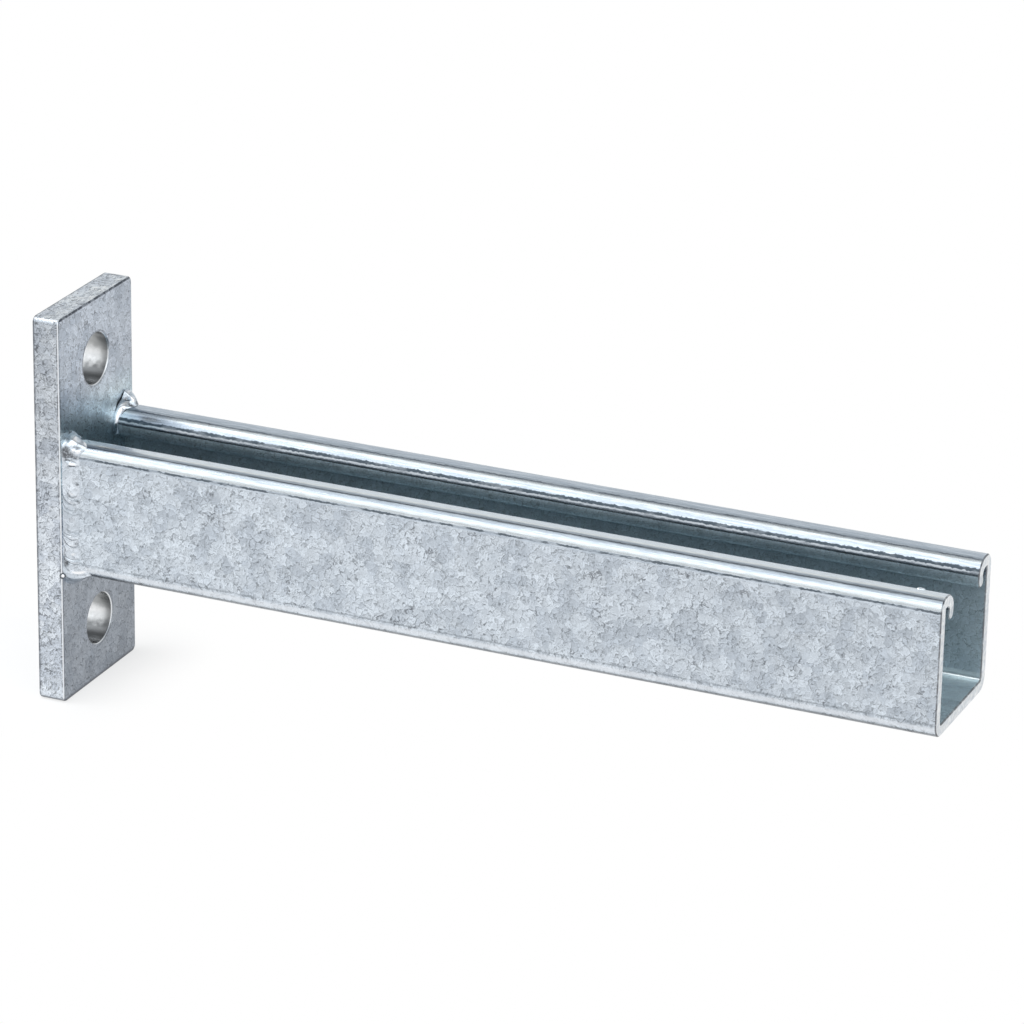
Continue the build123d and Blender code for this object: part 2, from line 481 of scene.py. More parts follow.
SHEET = 3.5
SLOT_WIDTH = 21.0
BASE_BEND = 4.6
SHOULDER_BEND = 3.6
LIP_FALL = 3.0
strut = frame["nodes"]["strut_channel"]
strut_low, strut_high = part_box("strut_channel")
skin = SHEET / 2
outer_side = strut_high.y / MM
outer_top = strut_high.z / MM
outer_base = strut_low.z / MM
arm_end = strut_high.x / MM
lip_width = outer_side - SLOT_WIDTH / 2
lip_radius = lip_width / 2 - skin
roll_middle = (SLOT_WIDTH / 2 + skin + lip_radius, outer_top - skin - lip_radius)
shoulder_middle = (outer_side - SHOULDER_BEND, outer_top - SHOULDER_BEND)
bend_middle = (outer_side - BASE_BEND, outer_base + BASE_BEND)
lip_bottom = roll_middle[1] - LIP_FALL
floor_level = outer_base + SHEET

WALL_PALE = (0.65, 0.71, 0.775, 1)
WALL_DULL = (0.52, 0.575, 0.64, 1)
LIP_PALE = (0.70, 0.77, 0.845, 1)
LIP_DULL = (0.54, 0.61, 0.69, 1)
LIP_HIGHLIGHT = (0.96, 1.0, 1.0, 1)
NEAR_TOP_REFLECTION_TINT = (0.965, 0.99, 1.04, 1)
THIN_REFLECTION = (0.80, 0.85, 0.90, 1)
LIP_DARK_REFLECTION = (0.06, 0.08, 0.10, 1)
BEND_HIGHLIGHT = (0.84, 0.88, 0.93, 1)
BEND_SHADE_LINE = (0.12, 0.14, 0.16, 1)
INSIDE_ZINC = (0.55, 0.61, 0.67, 1)
INSIDE_SHADE_TINT = (0.75, 0.83, 0.83, 1)
INSIDE_LIGHT_POOL = (0.90, 0.98, 1.0, 1)
SAWN_DULL = (0.76, 0.82, 0.88, 1)
SAWN_BRIGHT = (0.96, 0.99, 1.0, 1)
CUT_LINE = (0.13, 0.13, 0.14, 1)
WANDER = 9.0
BITE = 1.7

# Bands of painted highlight and painted shade on the lips and the base's bends: degrees turned from
# straight up, or at the base from straight down, first those with a start and an end, then those
# with a middle and half a width
SIDE_HIGHLIGHT_START = (52.0, 60.0)
SIDE_HIGHLIGHT_END = (77.0, 83.0)
SHADED_ROLL_START = (56.0, 60.0)
ROLLED_IN_START = (81.0, 84.0)
BEND_SHADE_END = (48.0, 60.0)
FAR_ROLL_HIGHLIGHT = (34.0, 9.0)
SHADED_SHOULDER = (36.0, 15.0)
THIN_REFLECTION_LINE = (70.5, 4.0)
BEND_HIGHLIGHT_TURN = (71.0, 16.0)

# Where a painted pool of light lies inside the open end, in mm: along the arm, across the floor, up
# the far wall's foot, and from the floor over to that wall
LIGHT_POOL_START = (225.0, 262.0)
LIGHT_POOL_ACROSS = (12.6, 2.6)
WALL_FOOT = (floor_level + 0.9, 1.6)
WALL_FOOT_START = (14.5, 15.5)

# Dark lines of painted reflection along the lips: the bend that each follows, the degrees that it
# is turned from straight up, half its width in degrees, and how dark it is
DARK_LIP_REFLECTIONS = (
    ("roll", 23.0, 4.5, 0.6),
    ("roll", 62.0, 9.0, 0.92),
    ("roll", 77.5, 5.0, 0.4),
    ("shoulder", 30.0, 5.0, 0.6),
    ("shoulder", 88.0, 9.0, 0.85),
)


def ragged_line(tree, value, middle, half_width, bite):
    """A line along the strut where a value is near the middle, its edges bitten by fine noise."""
    core = within(tree, value, middle, half_width, 1.0)
    return ramp(tree, maths(tree, "ADD", core, bite), 0.30, 0.55)


def shaded_inside(tree, place, wall, x, y, z):
    """The calm zinc inside the strut, darkened with painted shade, and by the open end a painted
    pool of light on the floor and along the foot of the far wall."""
    on_floor = fall(tree, z, floor_level + 0.1, floor_level + 0.6)
    drawn_out = ramp(tree, streaks(tree, place, (0.12, 0.7, 0.7), 0.5), 0.40, 0.60, 0.3, 1.0)
    floor_streaks = product(tree, on_floor, drawn_out, 0.6)
    pool = product(tree, within(tree, y, *LIGHT_POOL_ACROSS, soft=0.7), on_floor)
    wall_foot = product(tree, within(tree, z, *WALL_FOOT, soft=0.8),
                        ramp(tree, y, *WALL_FOOT_START))
    pool = product(tree, greatest(tree, pool, wall_foot), ramp(tree, drawn_out, 0.3, 1.0, 0.6, 1.0))
    light_pool = product(tree, greatest(tree, floor_streaks, pool), ramp(tree, x, *LIGHT_POOL_START))
    colour = blend(tree, 0.4, wall, INSIDE_ZINC)
    colour = blend(tree, 1.0, colour, INSIDE_SHADE_TINT, "MULTIPLY")
    return blend(tree, light_pool, colour, INSIDE_LIGHT_POOL), light_pool


def strut_zinc():
    """The strut's zinc: flakes on the walls, streaks along the rolled lips, painted highlights and
    ragged dark lines, of painted reflection on the lips and of painted shade on the base's bends,
    and painted shade inside the channel."""
    material, tree, surface, place = new_material("strut_zinc")
    x, y, z = node(tree, "ShaderNodeSeparateXYZ", {0: place}).outputs
    side = maths(tree, "ABSOLUTE", y)
    near = maths(tree, "LESS_THAN", y, 0.0)
    wall, wall_tone, wall_rise = zinc(tree, place, WALL_PALE, WALL_DULL, flake=2.1, lines=0.24,
                                      stains=0.7)
    wall = dimmed(tree, wall, ramp(tree, x, 60.0, arm_end), 0.93)

    # How the zinc ran along the strut, and where the painted dark lines wander, fray and break up
    run = streaks(tree, place, (0.08, 1.6, 1.6), 1.1)
    fine_run = ramp(tree, streaks(tree, place, (0.16, 1.6, 1.6), 2.4), 0.35, 0.65)
    ragged = streaks(tree, place, (0.8, 0.6, 0.6), 0.9)
    wander = product(tree, maths(tree, "SUBTRACT", ragged, 0.5), WANDER)
    frayed = streaks(tree, place, (0.8, 1.5, 1.5), 1.5)
    bite = product(tree, maths(tree, "SUBTRACT", frayed, 0.5), BITE)
    patchy = ramp(tree, streaks(tree, place, (0.25, 0.5, 0.5), 0.8), 0.36, 0.52, 0.35, 1.0)

    # Degrees turned about the lip's roll, the shoulder and the base's bend, and where each is
    roll_turn = turn_about(tree, maths(tree, "SUBTRACT", roll_middle[0], side),
                           maths(tree, "SUBTRACT", z, roll_middle[1]))
    side_turn = turn_about(tree, maths(tree, "SUBTRACT", side, shoulder_middle[0]),
                           maths(tree, "SUBTRACT", z, shoulder_middle[1]))
    base_turn = turn_about(tree, maths(tree, "SUBTRACT", side, bend_middle[0]),
                           maths(tree, "SUBTRACT", bend_middle[1], z))
    on_roll = maths(tree, "LESS_THAN", side, roll_middle[0])
    on_side = maths(tree, "GREATER_THAN", side, shoulder_middle[0])
    on_near_side = product(tree, on_side, near)
    on_bend = product(tree, maths(tree, "LESS_THAN", z, bend_middle[1]),
                      maths(tree, "GREATER_THAN", side, bend_middle[0]))
    upper = maths(tree, "GREATER_THAN", z, lip_bottom)

    # Lips: streaked, with painted highlights along the near crown, the near side and the far roll,
    # and a painted reflection tint on the near top
    lip = blend(tree, ramp(tree, run, 0.36, 0.58), LIP_PALE, LIP_DULL)
    crown_end = shoulder_middle[0]
    near_crown = product(tree, near, ramp(tree, side, crown_end + 0.5, crown_end + 1.2, 1.5, 0.0))
    low_side = product(tree, on_near_side, ramp(tree, side_turn, *SIDE_HIGHLIGHT_START),
                       fall(tree, side_turn, *SIDE_HIGHLIGHT_END))
    far_roll = product(tree, maths(tree, "SUBTRACT", 1.0, near), on_roll,
                       within(tree, roll_turn, *FAR_ROLL_HIGHLIGHT, soft=0.6))
    # Painted highlights on the near crown, the near side and the far roll
    lip_highlight = product(tree, greatest(tree, near_crown, low_side, far_roll), 0.57)
    lip = blend(tree, lip_highlight, lip, LIP_HIGHLIGHT)
    lip = dimmed(tree, lip, fine_run, 0.86)
    near_top = product(tree, near, maths(tree, "SUBTRACT", 1.0, on_side))
    lip = blend(tree, near_top, lip, NEAR_TOP_REFLECTION_TINT, "MULTIPLY")
    on_lip = ramp(tree, z, shoulder_middle[1] - 1.0, shoulder_middle[1] - 0.4)
    colour = blend(tree, on_lip, wall, lip)

    # Lips: painted shade on the shoulder and the inner roll, a thin painted reflection line, and
    # the dark lines of painted reflection
    shoulder = product(tree, within(tree, side_turn, *SHADED_SHOULDER), on_near_side, upper)
    colour = dimmed(tree, colour, shoulder, 0.70)
    wandered = maths(tree, "ADD", roll_turn, wander)
    shaded_roll = product(tree, ramp(tree, wandered, *SHADED_ROLL_START), on_roll, upper)
    colour = dimmed(tree, colour, shaded_roll, 0.42)
    # Painted reflection: a thin light line along the inner roll
    thin = product(tree, within(tree, wandered, *THIN_REFLECTION_LINE), on_roll, patchy, upper, 0.55)
    colour = blend(tree, thin, colour, THIN_REFLECTION)
    bends = {"roll": (roll_turn, on_roll), "shoulder": (side_turn, on_side)}
    # Painted reflection: ragged dark lines along the lips
    lines = 0.0
    for bend, middle, half_width, strength in DARK_LIP_REFLECTIONS:
        turned, on_this = bends[bend]
        moved = maths(tree, "ADD", turned, wander)
        line = ragged_line(tree, moved, middle, half_width, bite)
        lines = greatest(tree, lines, product(tree, line, on_this, patchy, strength))
    colour = blend(tree, product(tree, lines, upper), colour, LIP_DARK_REFLECTION)

    # Base: a painted highlight line and a painted shade outline on each bend, a dark line of
    # painted shade above it, painted shade on the underside
    wavering = maths(tree, "ADD", base_turn, product(tree, wander, 0.8))
    bright = product(tree, within(tree, wavering, *BEND_HIGHLIGHT_TURN, soft=0.7), on_bend, 0.6)
    colour = blend(tree, bright, colour, BEND_HIGHLIGHT)
    outlined = product(tree, fall(tree, base_turn, *BEND_SHADE_END), on_bend)
    colour = dimmed(tree, colour, outlined, 0.42)
    level = maths(tree, "ADD", z, product(tree, wander, 0.08))
    base_line = ragged_line(tree, level, bend_middle[1] + 0.2, 0.5, bite)
    colour = blend(tree, product(tree, base_line, patchy, on_side, 0.4), colour, BEND_SHADE_LINE)
    colour = dimmed(tree, colour, fall(tree, z, outer_base + 0.05, outer_base + 0.4), 0.7)

    # Inside, with painted shade and a painted pool of light, and the sawn open end with the saw's
    # dark line behind it
    rolled_in = product(tree, on_roll, ramp(tree, roll_turn, *ROLLED_IN_START))
    below_lips = greatest(tree, fall(tree, z, lip_bottom + 0.2, lip_bottom + 1.8), rolled_in)
    inner_side = outer_side - SHEET
    inside = product(tree, fall(tree, side, inner_side + 0.1, inner_side + 0.4), below_lips,
                     ramp(tree, z, floor_level - 0.5, floor_level - 0.2))
    inside_colour, light_pool = shaded_inside(tree, place, wall, x, y, z)
    # Painted shade inside, with a painted pool of light by the open end
    colour = blend(tree, inside, colour, inside_colour)
    sawn = ramp(tree, streaks(tree, place, (1.0, 1.0, 1.0), 0.9), 0.38, 0.60)
    at_end = ramp(tree, x, arm_end - 0.12, arm_end - 0.02)
    colour = blend(tree, at_end, colour, blend(tree, sawn, SAWN_DULL, SAWN_BRIGHT))
    cut = product(tree, within(tree, x, arm_end - 0.2, 0.25),
                  ramp(tree, patchy, 0.35, 1.0, 0.6, 0.95), 0.85)
    colour = blend(tree, cut, colour, CUT_LINE)

    rough = mixed(tree, on_lip, ramp(tree, wall_tone, 0.0, 1.0, 0.28, 0.38), 0.2)
    rough = mixed(tree, inside, rough, ramp(tree, light_pool, 0.0, 1.0, 0.55, 0.3))
    lip_rise = maths(tree, "ADD", product(tree, ragged, 0.02), product(tree, run, 0.03))
    rise = mixed(tree, on_lip, wall_rise, lip_rise)
    finish_zinc(tree, surface, colour, rough, rise)
    return material


strut.data.materials.clear()
strut.data.materials.append(strut_zinc())


# Welds: one fillet run down each side of the strut and one under it, laid by hand.
# Each starts on the lip's rolled edge, climbs over the crown and turns the base corner.
# The zinc filled the ripples, so that the runs look half melted, with painted shade between the
# ripples and painted highlights on their bright facets.

LIP_LEAN = 20.0
LIP_LEG = 0.2
NUDGE = 1e-6
base_radius = BASE_BEND - skin
shoulder_radius = SHOULDER_BEND - skin
base_half = outer_side - skin - base_radius
base_corner = radians(90) * base_radius
wall_length = outer_top - outer_base - 2 * skin - base_radius - shoulder_radius
shoulder_length = radians(90) * shoulder_radius
crown_flat = lip_width - lip_radius - 2 * skin - shoulder_radius
roll_length = radians(90 + LIP_LEAN) * lip_radius

# The middle line of the sheet, from the middle of the base to a lip's tip: the length of each
# stretch, and its radius where it is a bend
STRETCHES = (
    (base_half, None),
    (base_corner, base_radius),
    (wall_length, None),
    (shoulder_length, shoulder_radius),
    (crown_flat, None),
    (roll_length, lip_radius),
    (LIP_LEG, None),
)
line_length = sum(length for length, radius in STRETCHES)

# Places on the same line, measured the other way, from the lip's tip
slot_side = LIP_LEG + roll_length / 2
crown_middle = LIP_LEG + roll_length + crown_flat / 2
wall_start = crown_middle + crown_flat / 2 + shoulder_length
wall_end = wall_start + wall_length
corner_middle = wall_end + base_corner / 2
corner_end = wall_end + base_corner


def sheet_line(places):
    """Points and outward normals on the sheet's middle line, by distance from a lip's tip."""
    travelled = line_length - np.asarray(places, float)
    spots = np.zeros((len(travelled), 2))
    normals = np.zeros((len(travelled), 2))
    start, spot, heading = 0.0, np.array([0.0, outer_base + skin]), 0.0
    for length, radius in STRETCHES:
        past_start, past_end = travelled >= start - NUDGE, travelled > start + length + NUDGE
        here = np.nonzero(past_start & ~past_end)[0]
        steps = np.append(travelled[here] - start, length)
        turned = heading + (steps / radius if radius else 0 * steps)
        outward = np.stack([np.sin(turned), -np.cos(turned)], -1)
        if radius:
            centre = spot + radius * np.array([-sin(heading), cos(heading)])
            points = centre + radius * outward
        else:
            points = spot + steps[:, None] * np.array([cos(heading), sin(heading)])
        spots[here] = points[:-1]
        normals[here] = outward[:-1]
        start, spot, heading = start + length, points[-1], turned[-1]
    return spots, normals


# Each row of a run: a place, its reach out from the strut up the plate, and its grip along the
# strut. Both side runs end, and the base run starts, in the rows down to the base.
SLOT_REACH, SLOT_GRIP = 0.9, 1.6
SIDE_GRIP = 4.8
BASE_REACH, BASE_GRIP = 4.0, 5.0
side_reach = plate_side - outer_side - PLATE_EDGE
corner_reach = (side_reach + BASE_REACH) / 2
TO_BASE = (
    (wall_end - 3.0, side_reach, SIDE_GRIP),
    (wall_end - 1.2, side_reach, 5.0),
    (wall_end + 0.2, 1.3, 6.2),
    (corner_middle, corner_reach, 7.6),
    (corner_end, BASE_REACH, 5.4),
    (line_length, BASE_REACH, BASE_GRIP),
)
LEFT_ROWS = (
    (0, SLOT_REACH, SLOT_GRIP),
    (slot_side, SLOT_REACH, SLOT_GRIP),
    (crown_middle - 2.2, 1.0, 1.7),
    (crown_middle - 1.3, 2.0, 2.6),
    (crown_middle - 0.6, 2.0, 3.4),
    (crown_middle, 2.0, 4.3),
    (crown_middle + 0.6, 2.0, 5.2),
    (crown_middle + 1.2, 2.0, 6.1),
    (crown_middle + 1.7, 2.1, 6.8),
    (crown_middle + 2.2, 2.1, 6.7),
    (crown_middle + 2.8, 1.7, 5.8),
    (wall_start, side_reach, 5.0),
    (wall_start + 3.0, side_reach, SIDE_GRIP),
    *TO_BASE,
)
RIGHT_ROWS = (
    (0, SLOT_REACH, SLOT_GRIP),
    (slot_side, SLOT_REACH, SLOT_GRIP),
    (slot_side + 1.6, 1.2, 2.2),
    (crown_middle - 1.2, 1.5, 3.6),
    (crown_middle, 2.7, 4.5),
    (crown_middle + 1.15, 4.2, 4.3),
    (crown_middle + 1.55, 4.0, 3.8),
    (crown_middle + 1.9, 3.4, 3.4),
    (crown_middle + 2.2, 2.7, 3.1),
    (crown_middle + 2.7, 1.8, 3.0),
    (wall_start, side_reach, 3.2),
    (wall_start + 4.0, side_reach, SIDE_GRIP),
    *TO_BASE,
)

# Each pit or bright facet: its place, its share of the way across from the plate's side at 1 to
# the strut's at 0, half its length in mm and half its width as a share, how far it rises in mm,
# and its look, from 1 for painted shade in a pit to -1 for a painted highlight
LEFT_LUMPS = (
    (crown_middle - 1.3, 0.5, 0.9, 0.5, -0.2, 0.0),
    (crown_middle + 0.5, 0.06, 1.5, 0.09, 0.0, -1.0),
    (crown_middle + 1.0, 0.35, 0.8, 0.2, -0.2, 0.1),
    (crown_middle + 1.45, 0.64, 0.85, 0.2, 0.3, -1.0),
    (crown_middle + 1.9, 0.94, 0.55, 0.05, 0.0, -0.8),
    (crown_middle + 1.8, 0.83, 0.6, 0.05, -0.1, 0.5),
    (crown_middle + 2.35, 0.36, 0.3, 0.18, -0.35, 0.7),
    (crown_middle + 2.72, 0.2, 0.32, 0.12, 0.2, -1.0),
    (crown_middle + 2.62, 0.43, 0.28, 0.08, 0.1, -1.0),
    (crown_middle + 3.15, 0.78, 0.8, 0.24, -0.45, 1.0),
    (crown_middle + 3.35, 0.48, 0.4, 0.18, -0.3, 0.9),
    (crown_middle + 3.7, 0.2, 0.5, 0.2, -0.4, 1.0),
    (crown_middle + 4.5, 0.62, 0.4, 0.25, -0.4, 0.9),
    (crown_middle + 5.6, 0.35, 0.38, 0.24, 0.4, -1.0),
    (crown_middle + 6.25, 0.4, 0.28, 0.3, -0.3, 1.0),
    (wall_start + 8.0, 0.1, 0.6, 0.1, -0.1, 0.9),
    (wall_start + 13.4, 0.1, 0.5, 0.12, -0.1, 0.9),
    (wall_end - 6.5, 0.1, 0.5, 0.12, -0.1, 0.8),
    (wall_end - 2.2, 0.9, 1.6, 0.06, 0.0, 0.8),
    (wall_end - 0.3, 0.8, 0.6, 0.16, -0.35, 1.0),
    (wall_end + 1.2, 0.35, 0.3, 0.4, 0.1, -0.8),
)
RIGHT_LUMPS = (
    (crown_middle - 0.3, 0.7, 0.45, 0.2, -0.5, 1.0),
    (crown_middle + 0.4, 0.4, 0.6, 0.2, 0.35, -0.9),
    (crown_middle - 1.0, 0.25, 0.5, 0.2, -0.4, 1.0),
    (crown_middle + 0.9, 0.1, 0.5, 0.12, -0.2, 0.9),
    (crown_middle + 0.9, 0.8, 0.4, 0.08, 0.0, -0.8),
    (slot_side + 0.6, 0.5, 2.6, 0.4, 0.1, -0.9),
)
ROOT_DEPTH = 0.8
ACROSS = 28
STEP = 0.12
BULGE = 0.45
RIPPLE_PITCH = 2.1
RIPPLE_HEIGHT = 0.26
RIPPLE_DRIFT = 0.7
RIPPLE_CURVE = 2.6
RIPPLE_MIDDLE = 0.35
GRIP_SPREAD = 0.07
SHARP_ANGLE = radians(50)


def smooth_noise(places, length, seed):
    """Even noise from -1 to 1 along a run, with features of about that length."""
    generator = np.random.default_rng(seed)
    knots = generator.uniform(-1, 1, int(2 * line_length / length) + 8)
    at = np.asarray(places) / length + 2
    low = np.floor(at).astype(int)
    share = (1 - np.cos(pi * (at - low))) / 2
    return knots[low] * (1 - share) + knots[low + 1] * share


def bead_surface(places, rows, lumps, seed):
    """Distances out from the strut and forward from the plate, by place and by share across, and
    each spot's look, from 1 for painted shade down in a hollow to -1 for the brightest painted
    highlight."""
    mirrored = np.where(places > line_length, 2 * line_length - places, places)
    at, reaches, grips = np.array(rows).T
    reach = np.interp(mirrored, at, reaches)
    grip = np.interp(mirrored, at, grips)
    uneven = smooth_noise(places, 1.3, seed) + smooth_noise(places, 4.1, seed + 4)
    grip = grip * (1.02 + GRIP_SPREAD * uneven * np.clip((mirrored - wall_start) / 2, 0.1, 1))
    across = np.linspace(0, 1, ACROSS)[None, :]
    grip, reach = grip[:, None], reach[:, None]
    size = np.hypot(reach, grip)
    bow = 4 * across * (1 - across)

    # Ripples: curved across the run, drifting along it, fainter by the strut and in places
    drift = RIPPLE_DRIFT * smooth_noise(places, 2.6, seed + 1)[:, None]
    curve = RIPPLE_CURVE * (across - RIPPLE_MIDDLE) ** 2
    crest = np.abs(np.sin(pi * (places[:, None] / RIPPLE_PITCH + drift + curve)))
    strength = np.clip(0.6 + 0.9 * smooth_noise(places, 3.3, seed + 2)[:, None], 0.05, 1.3)
    strength = strength * np.clip(0.25 + across, 0, 1)
    rise = BULGE * bow + RIPPLE_HEIGHT * bow ** 0.5 * strength * (crest - 0.6)

    # Look: painted shade between ripples, a painted highlight beside them near the strut, painted
    # shade along the strut's toe
    look = strength * np.clip(1.1 - 2.6 * crest, 0, 1) * np.clip(3 * bow, 0, 1)
    look = look - 0.8 * strength * np.clip(1 - 4.0 * np.abs(crest - 0.6), 0, 1) * (across < 0.6)
    look = look + 0.2 * np.clip(1 - across / 0.05, 0, 1)
    for place, share, along, wide, height, shown in lumps:
        away = ((places[:, None] - place) / along) ** 2 + ((across - share) / wide) ** 2
        rise = rise + height * np.exp(-away) * np.minimum(1, 5 * across * (1 - across))
        look = look + shown * np.exp(-away ** 2)
    out = reach * across + rise * grip / size
    forward = grip * (1 - across) + rise * reach / size
    return out, forward, np.clip(look, -1, 1)


def bead(name, first, last, side, rows, lumps, seed):
    """A closed bead along the strut's section from one place to another, its root in the joint."""
    places = np.linspace(first, last, int((last - first) / STEP))
    past = places > line_length
    spots, normals = sheet_line(np.where(past, 2 * line_length - places, places))
    flip = np.where(past, -side, side)
    spots[:, 0] *= flip
    normals[:, 0] *= flip
    out, forward, look = bead_surface(places, rows, lumps, seed)
    root = np.full((len(places), 1), -ROOT_DEPTH)
    from_line = skin + np.hstack([out, root])
    x = plate_front + np.hstack([forward, root])
    y = spots[:, :1] + normals[:, :1] * from_line
    z = spots[:, 1:] + normals[:, 1:] * from_line
    points = np.stack([x, y, z], axis=-1).reshape(-1, 3) * MM
    ring = ACROSS + 1
    faces = []
    for i in range(len(places) - 1):
        for j in range(ring):
            k = (j + 1) % ring
            faces.append((i * ring + j, i * ring + k, (i + 1) * ring + k, (i + 1) * ring + j))
    end = (len(places) - 1) * ring
    faces.append(tuple(reversed(range(ring))))
    faces.append(tuple(end + j for j in range(ring)))
    if side > 0:
        faces = [tuple(reversed(face)) for face in faces]
    mesh = bpy.data.meshes.new(name)
    mesh.from_pydata(points.tolist(), [], faces)
    mesh.shade_smooth()
    mesh.set_sharp_from_angle(angle=SHARP_ANGLE)
    looks = np.hstack([look, 0 * root]).ravel()
    mesh.attributes.new("look", "FLOAT", "POINT").data.foreach_set("value", looks)
    run = bpy.data.objects.new(name, mesh)
    bpy.context.scene.collection.objects.link(run)
    return run


WELD_PALE = (0.69, 0.745, 0.81, 1)
WELD_DULL = (0.56, 0.62, 0.685, 1)
WELD_HOLLOW_SHADE = (0.08, 0.085, 0.095, 1)
WELD_HIGHLIGHT = (0.97, 0.98, 1.0, 1)


def weld_zinc():
    """Zinc run smooth over the weld, with few flakes, painted shade between the ripples and
    painted highlights on the bright facets."""
    material, tree, surface, place = new_material("weld_zinc")
    colour, tone, rise = zinc(tree, place, WELD_PALE, WELD_DULL, flake=2.3, lines=0.15, stains=0.4,
                              patch=5.0)
    look = node(tree, "ShaderNodeAttribute", attribute_name="look").outputs["Fac"]
    uneven = ramp(tree, streaks(tree, place, (1.0, 1.0, 1.0), 1.5), 0.38, 0.54, 0.55, 1.0)
    # Painted shade in the hollows, then painted highlights on the bright facets
    hollow = greatest(tree, product(tree, look, uneven), 0.0)
    colour = blend(tree, product(tree, hollow, 0.9), colour, WELD_HOLLOW_SHADE)
    colour = blend(tree, ramp(tree, look, -0.1, -1.0), colour, WELD_HIGHLIGHT)
    colour = drop_shade_ring(tree, place, colour)
    finish_zinc(tree, surface, colour, ramp(tree, tone, 0.0, 1.0, 0.12, 0.2), rise)
    return material


weld_finish = weld_zinc()
for name, first, last, side, rows, lumps, seed in (
    ("left_side_weld", 0.0, corner_middle, -1, LEFT_ROWS, LEFT_LUMPS, 3),
    ("right_side_weld", 0.0, corner_middle, 1, RIGHT_ROWS, RIGHT_LUMPS, 8),
    ("base_weld", corner_middle, 2 * line_length - corner_middle, -1, LEFT_ROWS, (), 3),
):
    run = bead("zinced_" + name, first, last, side, rows, lumps, seed)
    run.data.materials.append(weld_finish)
    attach(run, "root")
    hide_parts(name)


# Zinc beads: what dripped and froze as the arm came up out of the bath. One hangs on the
# plate's near front edge below the arm, and one lies on the near lip by the open end.

DROP_RINGS = 10
DROP_SIDES = 20
DROP_ZINC = (0.95, 0.96, 0.98, 1)
DROP_ROUGHNESS = 0.18
EDGE_DROP_SIZE = (1.15, 0.9, 1.15)
LIP_DROP = (267.6, -14.2, outer_top - 0.12)
LIP_DROP_SIZE = (2.4, 1.3, 0.6)


def zinc_bead(name, middle, size, finish):
    """A frozen drop, half sunk in what it lies on."""
    mesh = bpy.data.meshes.new(name)
    drop = bpy.data.objects.new(name, mesh)
    points = [(0, 0, 1), (0, 0, -1)]
    for i in range(1, DROP_RINGS):
        tilt = pi * i / DROP_RINGS
        for j in range(DROP_SIDES):
            turn = 2 * pi * j / DROP_SIDES
            points.append((sin(tilt) * cos(turn), sin(tilt) * sin(turn), cos(tilt)))
    faces = []
    last = 2 + (DROP_RINGS - 2) * DROP_SIDES
    for j in range(DROP_SIDES):
        k = (j + 1) % DROP_SIDES
        faces.append((0, 2 + j, 2 + k))
        faces.append((1, last + k, last + j))
        for i in range(DROP_RINGS - 2):
            a, b = 2 + i * DROP_SIDES, 2 + (i + 1) * DROP_SIDES
            faces.append((a + j, b + j, b + k, a + k))
    places = [[(m + s * c / 2) * MM for m, s, c in zip(middle, size, point)] for point in points]
    mesh.from_pydata(places, [], faces)
    mesh.shade_smooth()
    mesh.materials.append(finish)
    bpy.context.scene.collection.objects.link(drop)
    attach(drop, "root")


def drop_zinc():
    """Zinc that froze smooth and bright in a drop."""
    material, _, surface, _ = new_material("drop_zinc")
    surface.inputs["Base Color"].default_value = DROP_ZINC
    surface.inputs["Roughness"].default_value = DROP_ROUGHNESS
    surface.inputs["Metallic"].default_value = 1.0
    return material


zinc_bead("plate_edge_drop", EDGE_DROP, EDGE_DROP_SIZE, drop_zinc())
zinc_bead("lip_drop", LIP_DROP, LIP_DROP_SIZE, strut.data.materials[0])


# Floor: a plain pale sheet that the arm stands on by the plate's foot, for the picture only.
# It shows white, and keeps the plate's soft shadow. From below it can be seen through.

HALF_FLOOR = 4.5
PAPER = (0.9, 0.9, 0.9, 1)
WHITE = (1, 1, 1, 1)
SHADOW_START = -6.0
SHADOW_END = 27.0
SHADOW_KEEP = 0.68
corners = [(-HALF_FLOOR, -HALF_FLOOR), (HALF_FLOOR, -HALF_FLOOR), (HALF_FLOOR, HALF_FLOOR),
           (-HALF_FLOOR, HALF_FLOOR)]
floor_mesh = bpy.data.meshes.new("floor")
floor_mesh.from_pydata([(x, y, plate_low.z) for x, y in corners], [], [(0, 1, 2, 3)])
floor = bpy.data.objects.new("floor", floor_mesh)
bpy.context.scene.collection.objects.link(floor)


def floor_paper():
    """White paper. The camera, metal and glass see it white, but for the shadow by the plate."""
    material, tree, surface, place = new_material("floor_paper")
    tree.nodes.remove(surface)
    output = next(n for n in tree.nodes if n.type == "OUTPUT_MATERIAL")
    paper = node(tree, "ShaderNodeBsdfDiffuse", {"Color": PAPER})
    white = node(tree, "ShaderNodeEmission", {"Color": WHITE, "Strength": 1.0})
    rays = node(tree, "ShaderNodeLightPath").outputs
    seen = greatest(tree, rays["Is Camera Ray"], rays["Is Glossy Ray"],
                    rays["Is Transmission Ray"])
    x, y, _ = node(tree, "ShaderNodeSeparateXYZ", {0: place}).outputs
    side = maths(tree, "ABSOLUTE", y)
    ahead = greatest(tree, maths(tree, "SUBTRACT", x, plate_front), 0.0)
    beside = greatest(tree, maths(tree, "SUBTRACT", side, plate_side), 0.0)
    from_plate = hypotenuse(tree, ahead, beside)
    plain = ramp(tree, from_plate, SHADOW_START, SHADOW_END, SHADOW_KEEP, 1.0)
    lit = node(tree, "ShaderNodeMixShader", {
        0: product(tree, seen, plain), 1: paper.outputs[0], 2: white.outputs[0]})
    clear = node(tree, "ShaderNodeBsdfTransparent")
    behind = node(tree, "ShaderNodeNewGeometry").outputs["Backfacing"]
    shown = node(tree, "ShaderNodeMixShader", {0: behind, 1: lit.outputs[0], 2: clear.outputs[0]})
    tree.links.new(shown.outputs[0], output.inputs["Surface"])
    return material


floor_mesh.materials.append(floor_paper())


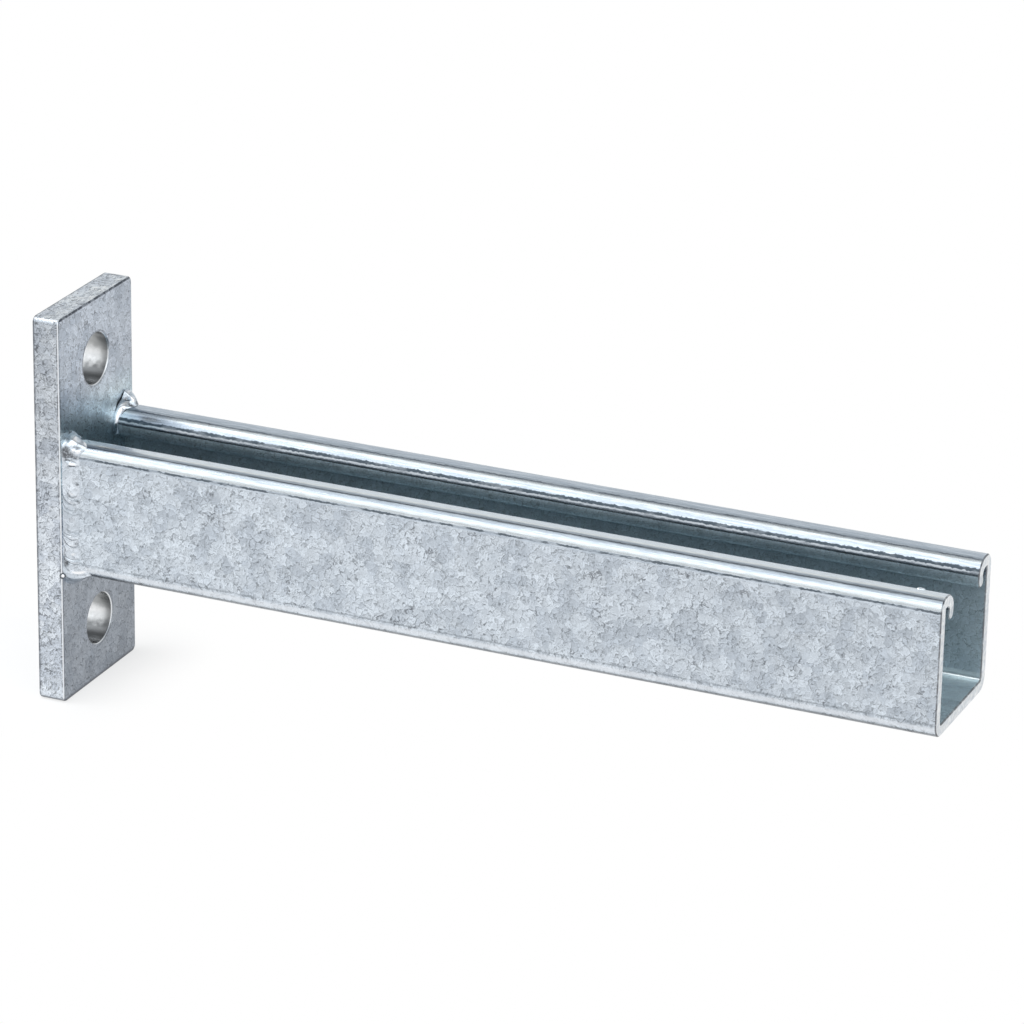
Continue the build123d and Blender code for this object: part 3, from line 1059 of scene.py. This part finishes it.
# Studio: a pale room, brightest from overhead round to the near side, with a dimmer strip just
# beyond the top, towards the far side. One soft lamp stands high up on the wall's side of the
# plate, a little to the near side.

# Light by the way round from the far side's horizon at 0, over the top, to the near side's at 1
LEVELS = (
    (0.00, 0.74), (0.20, 0.78), (0.34, 0.60), (0.43, 0.42), (0.48, 0.42), (0.53, 1.30),
    (0.60, 1.60), (0.80, 1.50), (0.90, 1.10), (0.96, 0.75), (1.00, 0.60),
)
ROOM_TINT = (0.96, 0.985, 1.0)
ROOM_STRENGTH = 2.0
LAMP_PLACE = Vector((-0.9, -0.25, 0.9))
LAMP_SIZE = 0.7
LAMP_POWER = 5.0

world = bpy.data.worlds.new("studio")
bpy.context.scene.world = world
world.use_nodes = True
room = world.node_tree
room.nodes.clear()
direction = node(room, "ShaderNodeTexCoord").outputs["Generated"]
toward = node(room, "ShaderNodeSeparateXYZ", {0: direction}).outputs
swing = maths(room, "DIVIDE", maths(room, "ARCTAN2", toward[2], toward[1]), pi)
levels = node(room, "ShaderNodeValToRGB", {0: swing})
band = levels.color_ramp
for swung, level in LEVELS[1:-1]:
    band.elements.new(swung)
for element, (swung, level) in zip(band.elements, LEVELS):
    element.color = [tint * level / ROOM_STRENGTH for tint in ROOM_TINT] + [1]
sky = node(room, "ShaderNodeBackground", {"Color": levels.outputs[0], "Strength": ROOM_STRENGTH})
node(room, "ShaderNodeOutputWorld", {"Surface": sky.outputs[0]})

lamp_data = bpy.data.lights.new("wall_side_lamp", "AREA")
lamp_data.shape = "SQUARE"
lamp_data.size = LAMP_SIZE
lamp_data.energy = LAMP_POWER
lamp = bpy.data.objects.new("wall_side_lamp", lamp_data)
lamp.location = LAMP_PLACE
lamp.rotation_euler = (-LAMP_PLACE).to_track_quat("-Z", "Y").to_euler()
bpy.context.scene.collection.objects.link(lamp)


# Camera: at the photograph's viewing angle, worked out from the arm's own edges.
# Lengths are in metres, and the focal length is in pixels of the photograph's frame.

CAMERA_TURN = radians(23.401)
CAMERA_TILT = radians(21.691)
CAMERA_ROLL = radians(1.047)
CAMERA_DISTANCE = 1.430628
CAMERA_AIM = Vector((0.140717, 0.0, 0.016165))
FOCAL_PIXELS = 5072.568
PHOTO_PIXELS = 1024
SENSOR_WIDTH = 36.0

back = Vector((sin(CAMERA_TURN) * cos(CAMERA_TILT), -cos(CAMERA_TURN) * cos(CAMERA_TILT),
               sin(CAMERA_TILT)))
level_right = Vector((cos(CAMERA_TURN), sin(CAMERA_TURN), 0))
level_up = back.cross(level_right)
right = cos(CAMERA_ROLL) * level_right + sin(CAMERA_ROLL) * level_up
up = back.cross(right)
camera_data = bpy.data.cameras.new("camera")
camera_data.sensor_width = SENSOR_WIDTH
camera_data.lens = FOCAL_PIXELS / PHOTO_PIXELS * SENSOR_WIDTH
camera = bpy.data.objects.new("camera", camera_data)
facing = Matrix((right, up, back)).transposed().to_4x4()
camera.matrix_world = Matrix.Translation(CAMERA_AIM + back * CAMERA_DISTANCE) @ facing
bpy.context.scene.collection.objects.link(camera)
bpy.context.scene.camera = camera
bpy.context.scene.view_settings.view_transform = "Standard"
